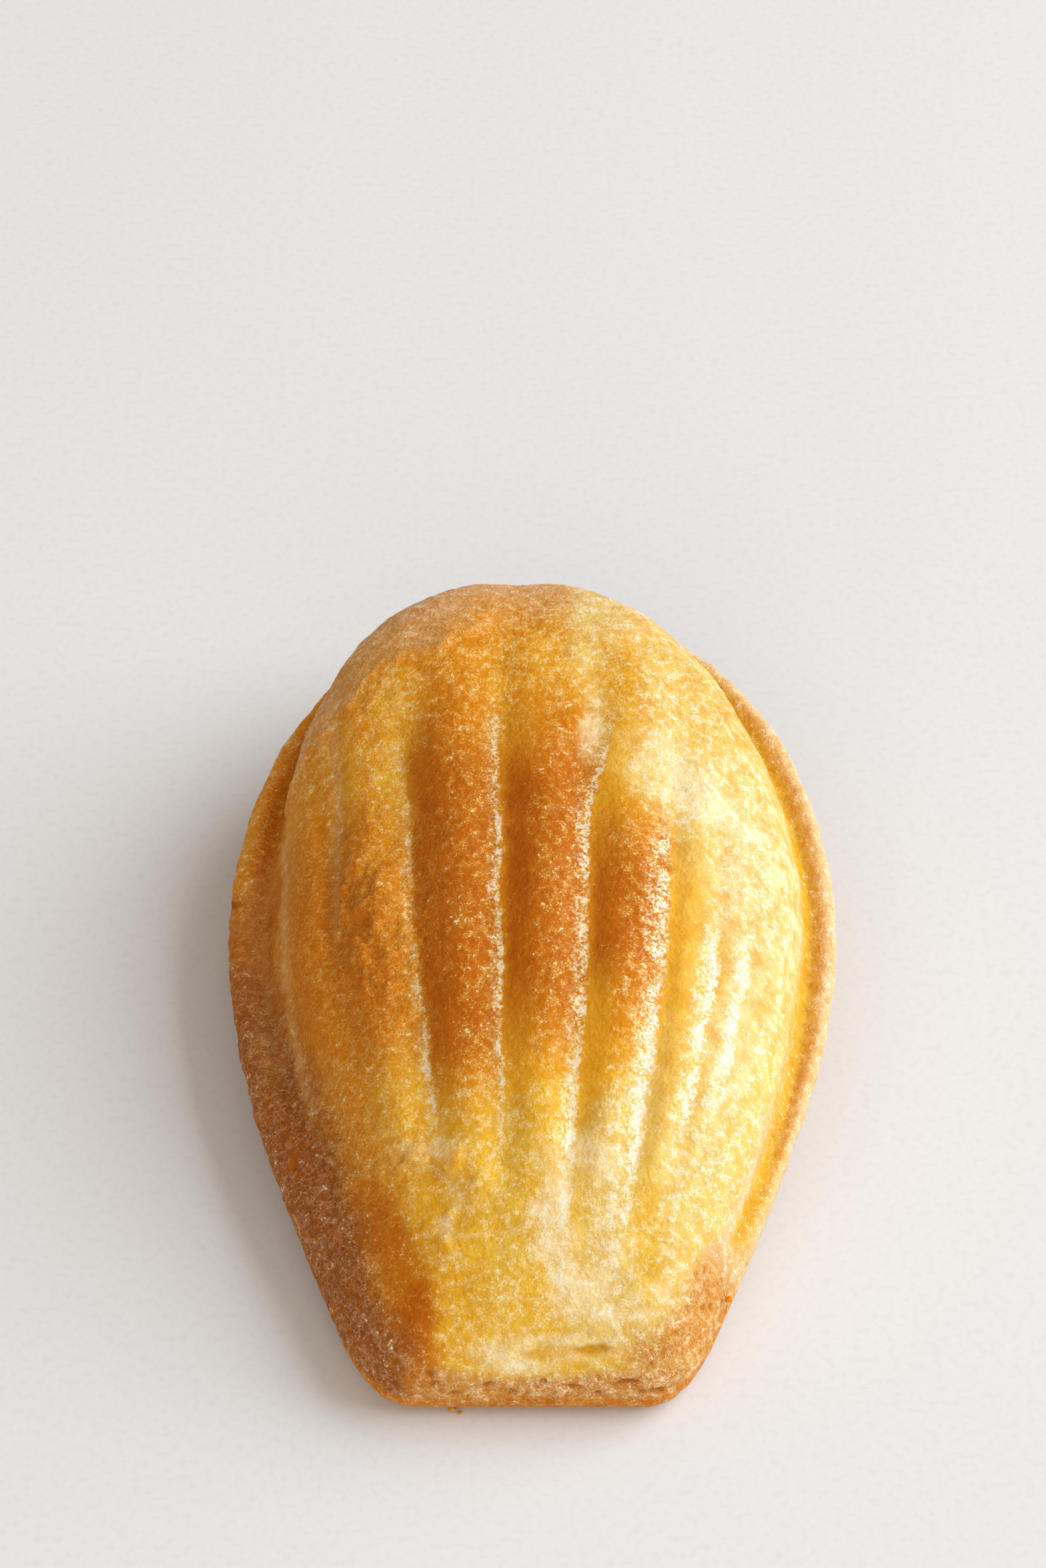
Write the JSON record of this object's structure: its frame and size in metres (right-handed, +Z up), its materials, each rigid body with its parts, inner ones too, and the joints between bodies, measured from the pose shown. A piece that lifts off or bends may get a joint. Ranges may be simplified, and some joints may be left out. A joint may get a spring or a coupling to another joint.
{
  "type": "madeleine cake",
  "caption": "Small shell-shaped sponge cake lying ribbed side up: a tall oval dome with shallow lengthwise ribs, a thin lip around it and a narrow square nose.",
  "frame": {"origin": "middle of the cake's box, at the height of the flat spot it rests on", "axes": "+Z up through the ribbed dome, +Y from the narrow nose to the wide round end, +X to the right seen from the nose"},
  "size_m": [0.0484, 0.0754, 0.022],
  "materials": {
    "golden_crust": "golden buttery sponge crust, fine-pored and slightly glossy, darker and toasted along the middle ribs"
  },
  "bodies": {
    "root": {"madeleine": "golden_crust"}
  },
  "joints": []
}
